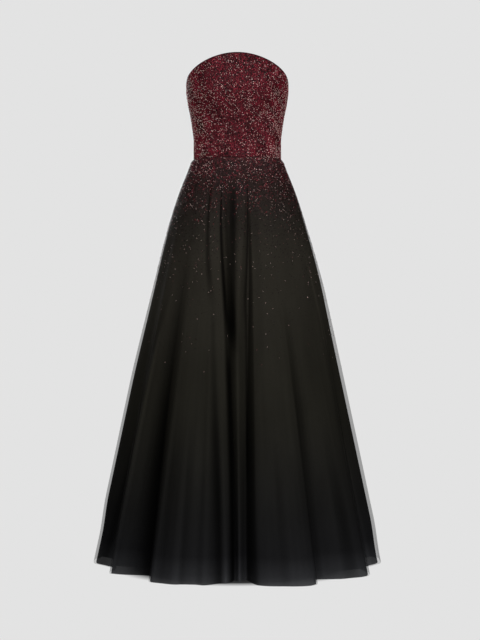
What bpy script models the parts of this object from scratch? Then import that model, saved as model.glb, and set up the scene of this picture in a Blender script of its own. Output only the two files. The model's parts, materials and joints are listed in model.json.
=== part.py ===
"""Strapless ball gown: beaded bodice, opaque underskirt and two sheer tulle layers over it.

The gown stands filled out with no wearer, open at the top edge and the hem. Each piece is a thin wall,
worked out from the gown's girths and a table of skirt flutes. Metres, +Z up. The origin is the middle of
the waist seam, the front faces -Y, and +X is on the right of someone who looks at the front.
Angles are in degrees round the gown: 0 at the centre front, 90 at +X, 180 at the centre back.
"""

import math
from collections import namedtuple

import bmesh
import bpy
import numpy as np

MM = 0.001

# Lengths of the gown
SKIRT_LENGTH = 1.108
UNDERSKIRT_LENGTH = 1.088
TOP_AT_SIDE = 0.210
TOP_RISE_TO_FRONT = 0.067
TOP_FALL_TO_BACK = 0.025

# Half widths and depths of the skirt grow from the waist: a quick spring below the seam, then a cone
Flare = namedtuple("Flare", "waist spring slope")
SIDE_FLARE = Flare(waist=0.1197, spring=0.0406, slope=0.2116)
FRONT_FLARE = Flare(waist=0.0860, spring=0.0560, slope=0.2193)
BACK_FLARE = Flare(waist=0.0840, spring=0.0600, slope=0.2310)
SPRING_HEIGHT = 0.128

# The bodice's outer girths, from the waist seam up
Girth = namedtuple("Girth", "height half_width front_depth back_depth")
BODICE_GIRTHS = (
    Girth(0.000, SIDE_FLARE.waist, FRONT_FLARE.waist, BACK_FLARE.waist),
    Girth(0.050, 0.1196, 0.0870, 0.0835),
    Girth(0.088, 0.1240, 0.0930, 0.0850),
    Girth(0.121, 0.1293, 0.1010, 0.0880),
    Girth(0.154, 0.1360, 0.1130, 0.0920),
    Girth(0.190, 0.1402, 0.1210, 0.0955),
    Girth(0.280, 0.1385, 0.1180, 0.0960),
)

# Fullness that the front's cut gives over the bust, one soft mound on each side
BUST_ANGLE = 33.0
BUST_ANGLE_SPREAD = 30.0
BUST_HEIGHT = 0.175
BUST_HEIGHT_SPREAD = 0.085
BUST_RISE = 0.009

# Crests and valleys of the skirt, round the hem: where each lies at the hem and at the waist, how far
# below the waist it starts, and how far it stands out (+) or in (-) at the hem
Flute = namedtuple("Flute", "hem_angle waist_angle start depth")
FLUTES = (
    Flute(-90.0, -90.0, 0.35, 0.000),
    Flute(-74.0, -62.0, 0.16, -0.047),
    Flute(-62.0, -52.0, 0.30, -0.014),
    Flute(-46.0, -39.0, 0.25, -0.068),
    Flute(-34.0, -34.0, 0.30, 0.000),
    Flute(-26.0, -30.0, 0.35, 0.003),
    Flute(-16.5, -26.0, 0.30, -0.015),
    Flute(-13.5, -24.5, 0.20, -0.010),
    Flute(-8.0, -21.0, 0.10, -0.036),
    Flute(-3.0, -18.5, 0.08, -0.054),
    Flute(-1.3, -17.0, 0.05, -0.087),
    Flute(1.0, -3.0, 0.40, -0.076),
    Flute(4.4, 12.0, 0.05, -0.092),
    Flute(8.0, 15.0, 0.10, -0.017),
    Flute(15.0, 21.0, 0.25, 0.008),
    Flute(26.0, 28.0, 0.35, 0.028),
    Flute(30.0, 31.5, 0.35, 0.017),
    Flute(36.0, 35.5, 0.40, -0.040),
    Flute(47.0, 47.0, 0.45, -0.003),
    Flute(57.0, 57.0, 0.45, 0.015),
    Flute(61.0, 61.0, 0.40, 0.006),
    Flute(75.0, 73.0, 0.30, -0.042),
    Flute(90.0, 90.0, 0.30, 0.000),
    Flute(104.0, 103.0, 0.35, 0.010),
    Flute(118.0, 114.0, 0.18, -0.056),
    Flute(130.0, 128.0, 0.32, 0.004),
    Flute(141.0, 138.0, 0.35, 0.012),
    Flute(153.0, 149.0, 0.12, -0.064),
    Flute(165.0, 163.0, 0.30, 0.006),
    Flute(180.0, 180.0, 0.21, -0.038),
    Flute(193.0, 195.0, 0.30, 0.002),
    Flute(203.0, 206.0, 0.10, -0.068),
    Flute(215.0, 216.0, 0.28, 0.012),
    Flute(228.0, 229.0, 0.34, -0.008),
    Flute(241.0, 243.0, 0.16, -0.054),
    Flute(255.0, 255.0, 0.33, 0.010),
)
FULL_TURN = 360.0
FLUTE_GROWTH = 1.15
DRIFT_FADE = 1.9

# Walls, and the gap between the skirt's layers, which opens from the waist down to the full-gap drop
BODICE_WALL = 2.5 * MM
TULLE_WALL = 1.0 * MM
UNDERSKIRT_WALL = 1.5 * MM
LAYER_GAP_AT_WAIST = 0.3 * MM
LAYER_GAP_AT_HEM = 3.0 * MM
FULL_GAP_DROP = 0.55
SEAM_GAP = 0.3 * MM
STEEPEST_STRETCH = 2.5

# Heights of the grid's rows: fractions of the bodice's height, and drops below the waist
BODICE_ROWS = (0.0, 0.24, 0.48, 0.64, 0.82, 1.0)
SKIRT_DROPS = (0.0, 0.035, 0.085, 0.14, 0.21, 0.36, 0.58, 0.84, SKIRT_LENGTH)
BODICE_STEP = 7.5
FLUTE_STEP = 7.0
SHARP_EDGE = math.radians(50)

# Concealed zip at the centre back
ZIP_GAP = 1.4 * MM
ZIP_DROP = 0.21
ZIP_TOP_FRACTION = 0.93
TAPE_HALF_WIDTH = 11.0 * MM
TAPE_WALL = 0.8 * MM
TAPE_GAP = 0.5 * MM
TAPE_STEP_HEIGHT = 0.04
SLIDER_FRACTION = 0.885
SLIDER_WIDTH = 4.4 * MM
SLIDER_HEIGHT = 9.0 * MM
SLIDER_PLATE = 1.2 * MM
NECK_WIDTH = 0.8 * MM
NECK_HEIGHT = 6.0 * MM
LOOP_WIDTH = 1.2 * MM
LOOP_HEIGHT = 7.6 * MM
LOOP_REACH = 3.2 * MM
LOOP_LEG = 1.4 * MM
LOOP_FRONT = 1.3 * MM
PULL_THICKNESS = 1.2 * MM
PULL_BAR = 0.6 * MM
PULL_EYE_WIDTH = 2.4 * MM
PULL_EYE_LENGTH = 4.6 * MM
PULL_TOP_HALF_WIDTH = 2.4 * MM
PULL_TIP_RADIUS = 3.6 * MM
PULL_TIP_DROP = 17.0 * MM

BEADED = ("beaded_cloth", (0.080, 0.022, 0.030), 0.35, 0.0)
OPAQUE = ("opaque_satin", (0.010, 0.010, 0.012), 0.60, 0.0)
SHEER = ("sheer_tulle", (0.030, 0.030, 0.034), 0.80, 0.0)
TAPE = ("zip_tape", (0.012, 0.012, 0.013), 0.85, 0.0)
METAL = ("zip_metal", (0.020, 0.020, 0.022), 0.40, 0.6)


def clear_scene():
    for obj in list(bpy.data.objects):
        bpy.data.objects.remove(obj, do_unlink=True)


def material(spec):
    name, colour, roughness, metallic = spec
    found = bpy.data.materials.get(name)
    if found:
        return found
    made = bpy.data.materials.new(name)
    made.use_nodes = True
    shader = made.node_tree.nodes["Principled BSDF"]
    shader.inputs["Base Color"].default_value = (*colour, 1.0)
    shader.inputs["Roughness"].default_value = roughness
    shader.inputs["Metallic"].default_value = metallic
    return made


def even_slopes(knots, values):
    """Slopes at the knots for a curve that never swings past them."""
    steps = np.diff(knots)
    rises = np.diff(values) / steps
    slopes = np.zeros(len(knots))
    slopes[0] = rises[0]
    slopes[-1] = rises[-1]
    for i in range(1, len(knots) - 1):
        if rises[i - 1] * rises[i] > 0:
            before = 2 * steps[i] + steps[i - 1]
            after = steps[i] + 2 * steps[i - 1]
            slopes[i] = (before + after) / (before / rises[i - 1] + after / rises[i])
    return slopes


def smooth_curve(knots, values):
    """A function that runs smoothly through the values at the knots."""
    knots = np.array(knots, dtype=float)
    values = np.array(values, dtype=float)
    slopes = even_slopes(knots, values)

    def curve(at):
        i = int(np.clip(np.searchsorted(knots, at) - 1, 0, len(knots) - 2))
        step = knots[i + 1] - knots[i]
        t = min(max((at - knots[i]) / step, 0.0), 1.0)
        start = (1 + 2 * t) * (1 - t) ** 2 * values[i] + t * (1 - t) ** 2 * step * slopes[i]
        end = t * t * (3 - 2 * t) * values[i + 1] + t * t * (t - 1) * step * slopes[i + 1]
        return start + end

    return curve


def round_the_hem(column, turns_with_angle=False):
    """A smooth curve through one column of the flute table, closed round the gown."""
    knots = []
    values = []
    for turn in (-FULL_TURN, 0.0, FULL_TURN):
        for flute in FLUTES:
            knots.append(flute.hem_angle + turn)
            values.append(getattr(flute, column) + (turn if turns_with_angle else 0.0))
    return smooth_curve(knots, values)


flute_depth = round_the_hem("depth")
flute_start = round_the_hem("start")
waist_angle = round_the_hem("waist_angle", turns_with_angle=True)

bodice_heights = [girth.height for girth in BODICE_GIRTHS]
bodice_half_width = smooth_curve(bodice_heights, [girth.half_width for girth in BODICE_GIRTHS])
bodice_front_depth = smooth_curve(bodice_heights, [girth.front_depth for girth in BODICE_GIRTHS])
bodice_back_depth = smooth_curve(bodice_heights, [girth.back_depth for girth in BODICE_GIRTHS])


def oval_radius(angle, half_width, front_depth, back_depth):
    """Distance from the axis to an oval that is deeper at the front than at the back, or the reverse."""
    depth = front_depth if math.cos(angle) > 0 else back_depth
    return half_width * depth / math.hypot(depth * math.sin(angle), half_width * math.cos(angle))


def bump(distance, spread):
    """A soft rise from 0 at the spread to 1 at no distance."""
    if abs(distance) >= spread:
        return 0.0
    return 0.5 + 0.5 * math.cos(math.pi * distance / spread)


def bodice_top(degrees):
    lift = math.cos(math.radians(degrees))
    return TOP_AT_SIDE + lift * (TOP_RISE_TO_FRONT if lift > 0 else TOP_FALL_TO_BACK)


def bodice_radius(degrees, height):
    radius = oval_radius(math.radians(degrees), bodice_half_width(height), bodice_front_depth(height),
                         bodice_back_depth(height))
    mound = bump(height - BUST_HEIGHT, BUST_HEIGHT_SPREAD) * bump(abs(degrees) - BUST_ANGLE, BUST_ANGLE_SPREAD)
    return radius + BUST_RISE * mound


def flared(flare, drop):
    spring = flare.spring * (1 - math.exp(-drop / SPRING_HEIGHT))
    return flare.waist + spring + flare.slope * drop


def skirt_angle(hem_degrees, drop):
    """Where the fold that ends at this angle of the hem lies, higher up the skirt."""
    fade = (1 - drop / SKIRT_LENGTH) ** DRIFT_FADE if drop < SKIRT_LENGTH else 0.0
    return hem_degrees + (waist_angle(hem_degrees) - hem_degrees) * fade


def skirt_radius(hem_degrees, drop):
    angle = math.radians(skirt_angle(hem_degrees, drop))
    oval = oval_radius(angle, flared(SIDE_FLARE, drop), flared(FRONT_FLARE, drop), flared(BACK_FLARE, drop))
    start = flute_start(hem_degrees)
    grown = max(drop - start, 0.0) / (SKIRT_LENGTH - start)
    return oval + flute_depth(hem_degrees) * grown ** FLUTE_GROWTH


def stretch_on_slope(hem_degrees, drop):
    """How much longer a step outward is along the radius than across the wall, on the side of a fold."""
    reach = 0.5
    rise = skirt_radius(hem_degrees + reach, drop) - skirt_radius(hem_degrees - reach, drop)
    turn = math.radians(skirt_angle(hem_degrees + reach, drop) - skirt_angle(hem_degrees - reach, drop))
    slope = rise / (turn * skirt_radius(hem_degrees, drop))
    return min(math.hypot(1.0, slope), STEEPEST_STRETCH)


def at_angle(degrees, radius, height):
    angle = math.radians(degrees)
    return (radius * math.sin(angle), -radius * math.cos(angle), height)


def bodice_point(degrees, fraction, inset):
    height = SEAM_GAP / 2 + fraction * (bodice_top(degrees) - SEAM_GAP / 2)
    return at_angle(degrees, bodice_radius(degrees, height) - inset, height)


def skirt_point(hem_degrees, drop, inset):
    radius = skirt_radius(hem_degrees, drop) - inset * stretch_on_slope(hem_degrees, drop)
    return at_angle(skirt_angle(hem_degrees, drop), radius, -max(drop, SEAM_GAP / 2))


def layer_insets(layer, drop):
    """Depths of the outer and inner face of a skirt layer: 0 outer tulle, 1 inner tulle, 2 underskirt."""
    share = min(1.0, drop / FULL_GAP_DROP)
    gap = LAYER_GAP_AT_WAIST + (LAYER_GAP_AT_HEM - LAYER_GAP_AT_WAIST) * share
    outer = layer * (TULLE_WALL + gap)
    wall = UNDERSKIRT_WALL if layer == 2 else TULLE_WALL
    return outer, outer + wall


def add_object(name, mesh, spec):
    obj = bpy.data.objects.new(name, mesh)
    obj.data.materials.append(material(spec))
    bpy.context.collection.objects.link(obj)
    return obj


def wall_object(name, outer, inner, spec):
    """One closed wall between two grids of points, given as rows from the bottom up, turning towards +angle."""
    rows = len(outer)
    columns = len(outer[0])
    mesh = bpy.data.meshes.new(name)
    build = bmesh.new()
    out = [[build.verts.new(point) for point in row] for row in outer]
    into = [[build.verts.new(point) for point in row] for row in inner]

    def square(a, b, c, d):
        build.faces.new((a, b, c))
        build.faces.new((a, c, d))

    for i in range(rows - 1):
        for j in range(columns - 1):
            square(out[i][j], out[i][j + 1], out[i + 1][j + 1], out[i + 1][j])
            square(into[i][j], into[i + 1][j], into[i + 1][j + 1], into[i][j + 1])
    for i in range(rows - 1):
        square(out[i][0], out[i + 1][0], into[i + 1][0], into[i][0])
        square(out[i + 1][-1], out[i][-1], into[i][-1], into[i + 1][-1])
    for j in range(columns - 1):
        square(out[0][j + 1], out[0][j], into[0][j], into[0][j + 1])
        square(out[-1][j], out[-1][j + 1], into[-1][j + 1], into[-1][j])
    bmesh.ops.recalc_face_normals(build, faces=build.faces)
    build.to_mesh(mesh)
    build.free()
    mesh.shade_smooth()
    mesh.set_sharp_from_angle(angle=SHARP_EDGE)
    return add_object(name, mesh, spec)


def between(low, high, step):
    """Angles from low to high in equal steps no longer than step."""
    count = max(1, math.ceil((high - low) / step - 1e-6))
    return [low + (high - low) * i / count for i in range(count)]


def flute_columns(low, high):
    """Angles of a skirt panel's columns: every crest and valley, and steps between them."""
    marks = sorted({flute.hem_angle for flute in FLUTES if low < flute.hem_angle < high} | {low, high})
    columns = []
    for start, end in zip(marks, marks[1:]):
        columns += between(start, end, FLUTE_STEP)
    return columns + [high]


def pulled_in(degrees, ends, gap, radius):
    """A column's angle, moved off the panel's edge by half the gap there."""
    shift = math.degrees(gap / 2 / radius)
    if degrees == ends[0]:
        return degrees + shift
    if degrees == ends[1]:
        return degrees - shift
    return degrees


def is_centre_back(degrees):
    return degrees == FULL_TURN / 2


def bodice_panel(name, low, high):
    columns = between(low, high, BODICE_STEP) + [high]

    def face(inset):
        rows = []
        for fraction in BODICE_ROWS:
            row = []
            for degrees in columns:
                gap = ZIP_GAP if is_centre_back(degrees) else SEAM_GAP
                moved = pulled_in(degrees, (low, high), gap, bodice_radius(degrees, fraction * TOP_AT_SIDE))
                row.append(bodice_point(moved, fraction, inset))
            rows.append(row)
        return rows

    return wall_object(name, face(0.0), face(BODICE_WALL), BEADED)


def skirt_panel(name, low, high, layer, length, spec):
    columns = flute_columns(low, high)
    drops = [min(drop, length) for drop in reversed(SKIRT_DROPS)]

    def face(side):
        rows = []
        for drop in drops:
            inset = layer_insets(layer, drop)[side]
            row = []
            for degrees in columns:
                open_zip = is_centre_back(degrees) and drop <= ZIP_DROP
                gap = ZIP_GAP if open_zip else SEAM_GAP
                moved = pulled_in(degrees, (low, high), gap, skirt_radius(degrees, drop))
                row.append(skirt_point(moved, drop, inset))
            rows.append(row)
        return rows

    return wall_object(name, face(0), face(1), spec)


def tape_inset(height):
    """The zip tape lies behind the bodice, and steps in below the waist to lie behind the underskirt."""
    behind_bodice = BODICE_WALL + TAPE_GAP
    behind_skirt = layer_insets(2, max(-height, 0.0))[1] + TAPE_GAP
    share = min(max(1 - height / TAPE_STEP_HEIGHT, 0.0), 1.0)
    return behind_bodice + (behind_skirt - behind_bodice) * share


def zip_tape():
    back = FULL_TURN / 2

    def face(extra):
        rows = []
        for drop in reversed([drop for drop in SKIRT_DROPS if 0 < drop <= ZIP_DROP]):
            reach = math.degrees(TAPE_HALF_WIDTH / skirt_radius(back, drop))
            inset = tape_inset(-drop) + extra
            rows.append([skirt_point(back + side * reach, drop, inset) for side in (-1, 0, 1)])
        for fraction in BODICE_ROWS[:-1] + (ZIP_TOP_FRACTION,):
            height = fraction * bodice_top(back)
            reach = math.degrees(TAPE_HALF_WIDTH / bodice_radius(back, height))
            inset = tape_inset(height) + extra
            rows.append([bodice_point(back + side * reach, fraction, inset) for side in (-1, 0, 1)])
        return rows

    return wall_object("zip_tape", face(0.0), face(TAPE_WALL), TAPE)


def block(build, low, high):
    """A box between two corners, added to a bmesh."""
    middle = [(a + b) / 2 for a, b in zip(low, high)]
    size = [b - a for a, b in zip(low, high)]
    made = bmesh.ops.create_cube(build, size=1.0)
    for vert in made["verts"]:
        vert.co = [centre + span * part for centre, span, part in zip(middle, size, vert.co)]


def box_object(name, low, high, spec):
    mesh = bpy.data.meshes.new(name)
    build = bmesh.new()
    block(build, low, high)
    build.to_mesh(mesh)
    build.free()
    return add_object(name, mesh, spec)


def boolean(target, other, operation):
    step = target.modifiers.new(operation.lower() + "_" + other.name, "BOOLEAN")
    step.operation = operation
    step.object = other
    step.solver = "EXACT"
    other.hide_render = True
    other.display_type = "WIRE"


def slider_seat():
    """Where the slider sits on the outside of the centre back, and how far the wall leans out there."""
    back = FULL_TURN / 2
    height = SLIDER_FRACTION * bodice_top(back)
    reach = SLIDER_HEIGHT / 2
    below = bodice_radius(back, height - reach)
    above = bodice_radius(back, height + reach)
    lean = math.atan2(above - below, 2 * reach)
    return (0.0, bodice_radius(back, height), height), lean


def zip_slider(seat, lean):
    """Front plate, the neck that passes between the two backs, and the loop that carries the pull."""
    plate_face = SEAM_GAP + SLIDER_PLATE
    slider = box_object("zip_slider", (-SLIDER_WIDTH / 2, SEAM_GAP, -SLIDER_HEIGHT / 2),
                        (SLIDER_WIDTH / 2, plate_face, SLIDER_HEIGHT / 2), METAL)
    neck = box_object("slider_neck_form", (-NECK_WIDTH / 2, -BODICE_WALL, -NECK_HEIGHT / 2),
                      (NECK_WIDTH / 2, plate_face - SLIDER_PLATE / 2, NECK_HEIGHT / 2), METAL)
    loop = box_object("slider_loop_form", (-LOOP_WIDTH / 2, plate_face - SLIDER_PLATE / 2, -LOOP_HEIGHT / 2),
                      (LOOP_WIDTH / 2, plate_face + LOOP_REACH, LOOP_HEIGHT / 2), METAL)
    eye = box_object("slider_loop_hole", (-LOOP_WIDTH, plate_face, LOOP_LEG - LOOP_HEIGHT / 2),
                     (LOOP_WIDTH, plate_face + LOOP_REACH - LOOP_FRONT, LOOP_HEIGHT / 2 - LOOP_LEG), METAL)
    for form in (neck, loop):
        boolean(slider, form, "UNION")
    boolean(slider, eye, "DIFFERENCE")
    for piece in (slider, neck, loop, eye):
        piece.location = seat
        piece.rotation_euler.x = -lean
    return slider


def pull_pivot(seat, lean):
    """The middle of the loop's hole, which the pull's top bar turns in."""
    out = SEAM_GAP + SLIDER_PLATE + (LOOP_REACH - LOOP_FRONT) / 2
    return (0.0, seat[1] + out * math.cos(lean), seat[2] - out * math.sin(lean))


def pull_outline():
    """The pull tab seen from behind the gown: straight sides from the top bar to a round tip."""
    points = [(-PULL_TOP_HALF_WIDTH, PULL_BAR), (-PULL_TOP_HALF_WIDTH, -PULL_EYE_LENGTH)]
    arc_steps = 12
    for i in range(arc_steps + 1):
        angle = math.pi + math.pi * i / arc_steps
        points.append((PULL_TIP_RADIUS * math.cos(angle), -PULL_TIP_DROP + PULL_TIP_RADIUS * math.sin(angle)))
    points += [(PULL_TOP_HALF_WIDTH, -PULL_EYE_LENGTH), (PULL_TOP_HALF_WIDTH, PULL_BAR)]
    return points


def zip_pull(pivot):
    """The teardrop tab, hanging straight down from its top bar, with its origin on the hinge's axis."""
    mesh = bpy.data.meshes.new("zip_pull")
    build = bmesh.new()
    front = build.faces.new([build.verts.new((x, -PULL_THICKNESS / 2, z)) for x, z in pull_outline()])
    sides = bmesh.ops.extrude_face_region(build, geom=[front])
    moved = [item for item in sides["geom"] if isinstance(item, bmesh.types.BMVert)]
    bmesh.ops.translate(build, verts=moved, vec=(0.0, PULL_THICKNESS, 0.0))
    bmesh.ops.recalc_face_normals(build, faces=build.faces)
    build.to_mesh(mesh)
    build.free()
    pull = add_object("zip_pull", mesh, METAL)
    eye = box_object("pull_eye_hole", (-PULL_EYE_WIDTH / 2, -PULL_THICKNESS, -PULL_BAR - PULL_EYE_LENGTH),
                     (PULL_EYE_WIDTH / 2, PULL_THICKNESS, -PULL_BAR), METAL)
    boolean(pull, eye, "DIFFERENCE")
    for piece in (pull, eye):
        piece.location = pivot
    return pull


def build_gown():
    clear_scene()
    panels = (("front", -90.0, 90.0), ("back_right", 90.0, 180.0), ("back_left", 180.0, 270.0))
    layers = (
        ("tulle_outer", 0, SKIRT_LENGTH, SHEER),
        ("tulle_inner", 1, SKIRT_LENGTH, SHEER),
        ("underskirt", 2, UNDERSKIRT_LENGTH, OPAQUE),
    )
    for side, low, high in panels:
        bodice_panel("bodice_" + side, low, high)
        for name, layer, length, spec in layers:
            skirt_panel(name + "_" + side, low, high, layer, length, spec)
    zip_tape()
    seat, lean = slider_seat()
    zip_slider(seat, lean)
    zip_pull(pull_pivot(seat, lean))


build_gown()
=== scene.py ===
"""Looks of the strapless ball gown: beaded bodice, satin underskirt, two sheer tulle layers, beads and zip.

Metres, +Z up. The origin is the middle of the waist seam and the front faces -Y. Angles are in degrees
round the gown: 0 at the centre front, 90 at +X, 180 at the centre back. hem stands for the angle where a
line down the skirt ends at its hem, and a drop is a depth below the waist.
"""

import json
import math
from collections import namedtuple

import bpy
import numpy as np
from mathutils import Vector
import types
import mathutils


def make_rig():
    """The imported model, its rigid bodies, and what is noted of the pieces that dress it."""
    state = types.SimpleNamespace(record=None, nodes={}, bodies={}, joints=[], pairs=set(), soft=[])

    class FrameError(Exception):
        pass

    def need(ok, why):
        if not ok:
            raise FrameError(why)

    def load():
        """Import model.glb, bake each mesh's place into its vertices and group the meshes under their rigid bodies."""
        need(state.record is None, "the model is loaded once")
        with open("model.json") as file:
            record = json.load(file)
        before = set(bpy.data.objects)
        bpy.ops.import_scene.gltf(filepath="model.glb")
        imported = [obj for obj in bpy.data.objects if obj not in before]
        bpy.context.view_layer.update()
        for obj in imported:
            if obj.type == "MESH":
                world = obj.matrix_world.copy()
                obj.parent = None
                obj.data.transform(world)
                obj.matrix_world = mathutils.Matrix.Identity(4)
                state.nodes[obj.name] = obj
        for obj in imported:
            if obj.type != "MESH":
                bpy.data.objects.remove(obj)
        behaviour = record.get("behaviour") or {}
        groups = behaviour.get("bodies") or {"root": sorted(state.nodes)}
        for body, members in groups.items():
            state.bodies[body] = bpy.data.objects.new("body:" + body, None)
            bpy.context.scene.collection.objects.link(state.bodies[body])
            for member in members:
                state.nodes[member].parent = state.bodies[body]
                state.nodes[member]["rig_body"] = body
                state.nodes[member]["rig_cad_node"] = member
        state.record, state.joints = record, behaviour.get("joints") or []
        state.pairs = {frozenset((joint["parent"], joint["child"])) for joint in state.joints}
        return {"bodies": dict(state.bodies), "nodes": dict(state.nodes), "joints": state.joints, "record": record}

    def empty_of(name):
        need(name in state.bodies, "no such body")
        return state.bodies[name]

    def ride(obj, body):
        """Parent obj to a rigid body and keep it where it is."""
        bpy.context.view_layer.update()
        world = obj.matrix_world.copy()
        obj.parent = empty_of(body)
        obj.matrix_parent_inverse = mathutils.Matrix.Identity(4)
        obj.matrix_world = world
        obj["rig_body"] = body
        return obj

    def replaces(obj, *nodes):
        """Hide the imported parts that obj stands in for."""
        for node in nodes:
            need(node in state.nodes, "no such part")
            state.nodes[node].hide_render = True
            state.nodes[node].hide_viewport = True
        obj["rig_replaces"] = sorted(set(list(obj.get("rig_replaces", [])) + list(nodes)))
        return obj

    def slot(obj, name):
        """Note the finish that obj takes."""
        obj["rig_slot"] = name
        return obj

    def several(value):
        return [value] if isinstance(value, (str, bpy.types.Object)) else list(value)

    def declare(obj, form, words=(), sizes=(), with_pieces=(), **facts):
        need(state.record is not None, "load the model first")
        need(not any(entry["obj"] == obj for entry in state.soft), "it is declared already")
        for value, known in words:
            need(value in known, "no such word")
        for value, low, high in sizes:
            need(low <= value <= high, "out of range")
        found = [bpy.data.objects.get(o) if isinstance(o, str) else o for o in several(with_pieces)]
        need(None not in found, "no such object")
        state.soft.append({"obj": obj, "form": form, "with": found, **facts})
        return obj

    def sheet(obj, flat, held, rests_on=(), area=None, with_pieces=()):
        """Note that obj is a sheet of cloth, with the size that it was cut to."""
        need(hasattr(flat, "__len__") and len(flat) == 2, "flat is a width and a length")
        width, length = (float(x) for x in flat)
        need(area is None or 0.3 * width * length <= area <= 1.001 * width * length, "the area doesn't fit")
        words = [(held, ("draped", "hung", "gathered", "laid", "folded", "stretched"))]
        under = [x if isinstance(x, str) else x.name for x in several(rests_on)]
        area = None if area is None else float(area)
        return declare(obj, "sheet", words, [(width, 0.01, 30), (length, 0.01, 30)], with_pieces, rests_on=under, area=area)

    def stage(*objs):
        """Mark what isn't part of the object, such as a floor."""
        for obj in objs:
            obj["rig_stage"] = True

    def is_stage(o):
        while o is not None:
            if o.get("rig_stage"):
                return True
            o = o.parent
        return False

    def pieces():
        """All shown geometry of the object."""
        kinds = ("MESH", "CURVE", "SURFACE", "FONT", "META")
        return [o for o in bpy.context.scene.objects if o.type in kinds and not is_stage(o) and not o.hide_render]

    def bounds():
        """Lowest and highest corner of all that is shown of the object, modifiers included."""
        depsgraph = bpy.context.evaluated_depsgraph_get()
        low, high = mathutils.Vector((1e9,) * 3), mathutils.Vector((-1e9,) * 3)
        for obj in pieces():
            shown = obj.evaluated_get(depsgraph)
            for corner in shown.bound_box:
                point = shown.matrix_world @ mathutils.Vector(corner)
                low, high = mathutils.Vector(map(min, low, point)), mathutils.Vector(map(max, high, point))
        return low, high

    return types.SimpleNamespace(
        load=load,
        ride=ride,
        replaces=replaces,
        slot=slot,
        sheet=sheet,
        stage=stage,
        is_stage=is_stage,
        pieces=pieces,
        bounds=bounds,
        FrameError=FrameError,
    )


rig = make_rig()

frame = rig.load()
CAD_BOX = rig.bounds()

MM = 0.001
BODY = "gown"
PANELS = (("front", -90.0, 90.0), ("back_right", 90.0, 180.0), ("back_left", 180.0, 270.0))
CENTRE_BACK = 180.0

# The gown's form, as the frame has it
SKIRT_LENGTH = 1.108
UNDERSKIRT_LENGTH = 1.088
TOP_AT_SIDE = 0.210
TOP_RISE_TO_FRONT = 0.067
TOP_FALL_TO_BACK = 0.025
Flare = namedtuple("Flare", "waist spring slope")
SIDE_FLARE = Flare(waist=0.1197, spring=0.0406, slope=0.2116)
FRONT_FLARE = Flare(waist=0.0860, spring=0.0560, slope=0.2193)
BACK_FLARE = Flare(waist=0.0840, spring=0.0600, slope=0.2310)
SPRING_HEIGHT = 0.128
Girth = namedtuple("Girth", "height half_width front_depth back_depth")
BODICE_GIRTHS = (
    Girth(0.000, SIDE_FLARE.waist, FRONT_FLARE.waist, BACK_FLARE.waist),
    Girth(0.050, 0.1196, 0.0870, 0.0835),
    Girth(0.088, 0.1240, 0.0930, 0.0850),
    Girth(0.121, 0.1293, 0.1010, 0.0880),
    Girth(0.154, 0.1360, 0.1130, 0.0920),
    Girth(0.190, 0.1402, 0.1210, 0.0955),
    Girth(0.280, 0.1385, 0.1180, 0.0960),
)
BUST_ANGLE = 33.0
BUST_ANGLE_SPREAD = 30.0
BUST_HEIGHT = 0.175
BUST_HEIGHT_SPREAD = 0.085
BUST_RISE = 0.009

# Crests and valleys of the skirt, round the hem: depth is + outward at the hem, from start downward
Flute = namedtuple("Flute", "hem_angle waist_angle start depth")
FLUTES = (
    Flute(-90.0, -90.0, 0.35, 0.000),
    Flute(-74.0, -62.0, 0.16, -0.047),
    Flute(-62.0, -52.0, 0.30, -0.014),
    Flute(-46.0, -39.0, 0.25, -0.068),
    Flute(-34.0, -34.0, 0.30, 0.000),
    Flute(-26.0, -30.0, 0.35, 0.003),
    Flute(-16.5, -26.0, 0.30, -0.015),
    Flute(-13.5, -24.5, 0.20, -0.010),
    Flute(-8.0, -21.0, 0.10, -0.036),
    Flute(-3.0, -18.5, 0.08, -0.054),
    Flute(-1.3, -17.0, 0.05, -0.087),
    Flute(1.0, -3.0, 0.40, -0.076),
    Flute(4.4, 12.0, 0.05, -0.092),
    Flute(8.0, 15.0, 0.10, -0.017),
    Flute(15.0, 21.0, 0.25, 0.008),
    Flute(26.0, 28.0, 0.35, 0.028),
    Flute(30.0, 31.5, 0.35, 0.017),
    Flute(36.0, 35.5, 0.40, -0.040),
    Flute(47.0, 47.0, 0.45, -0.003),
    Flute(57.0, 57.0, 0.45, 0.015),
    Flute(61.0, 61.0, 0.40, 0.006),
    Flute(75.0, 73.0, 0.30, -0.042),
    Flute(90.0, 90.0, 0.30, 0.000),
    Flute(104.0, 103.0, 0.35, 0.010),
    Flute(118.0, 114.0, 0.18, -0.056),
    Flute(130.0, 128.0, 0.32, 0.004),
    Flute(141.0, 138.0, 0.35, 0.012),
    Flute(153.0, 149.0, 0.12, -0.064),
    Flute(165.0, 163.0, 0.30, 0.006),
    Flute(180.0, 180.0, 0.21, -0.038),
    Flute(193.0, 195.0, 0.30, 0.002),
    Flute(203.0, 206.0, 0.10, -0.068),
    Flute(215.0, 216.0, 0.28, 0.012),
    Flute(228.0, 229.0, 0.34, -0.008),
    Flute(241.0, 243.0, 0.16, -0.054),
    Flute(255.0, 255.0, 0.33, 0.010),
)
FULL_TURN = 360.0
FLUTE_GROWTH = 1.15
DRIFT_FADE = 1.9
BODICE_WALL = 2.5 * MM
TULLE_WALL = 1.0 * MM
UNDERSKIRT_WALL = 1.5 * MM
LAYER_GAP_AT_WAIST = 0.3 * MM
LAYER_GAP_AT_HEM = 3.0 * MM
FULL_GAP_DROP = 0.55
STEEPEST_STRETCH = 2.5
ZIP_GAP = 1.4 * MM
ZIP_DROP = 0.21
ZIP_TOP_FRACTION = 0.93
TAPE_HALF_WIDTH = 11.0 * MM
TAPE_WALL = 0.8 * MM
TAPE_GAP = 0.5 * MM
TAPE_STEP_HEIGHT = 0.04
SEAM_GAP = 0.3 * MM

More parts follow.
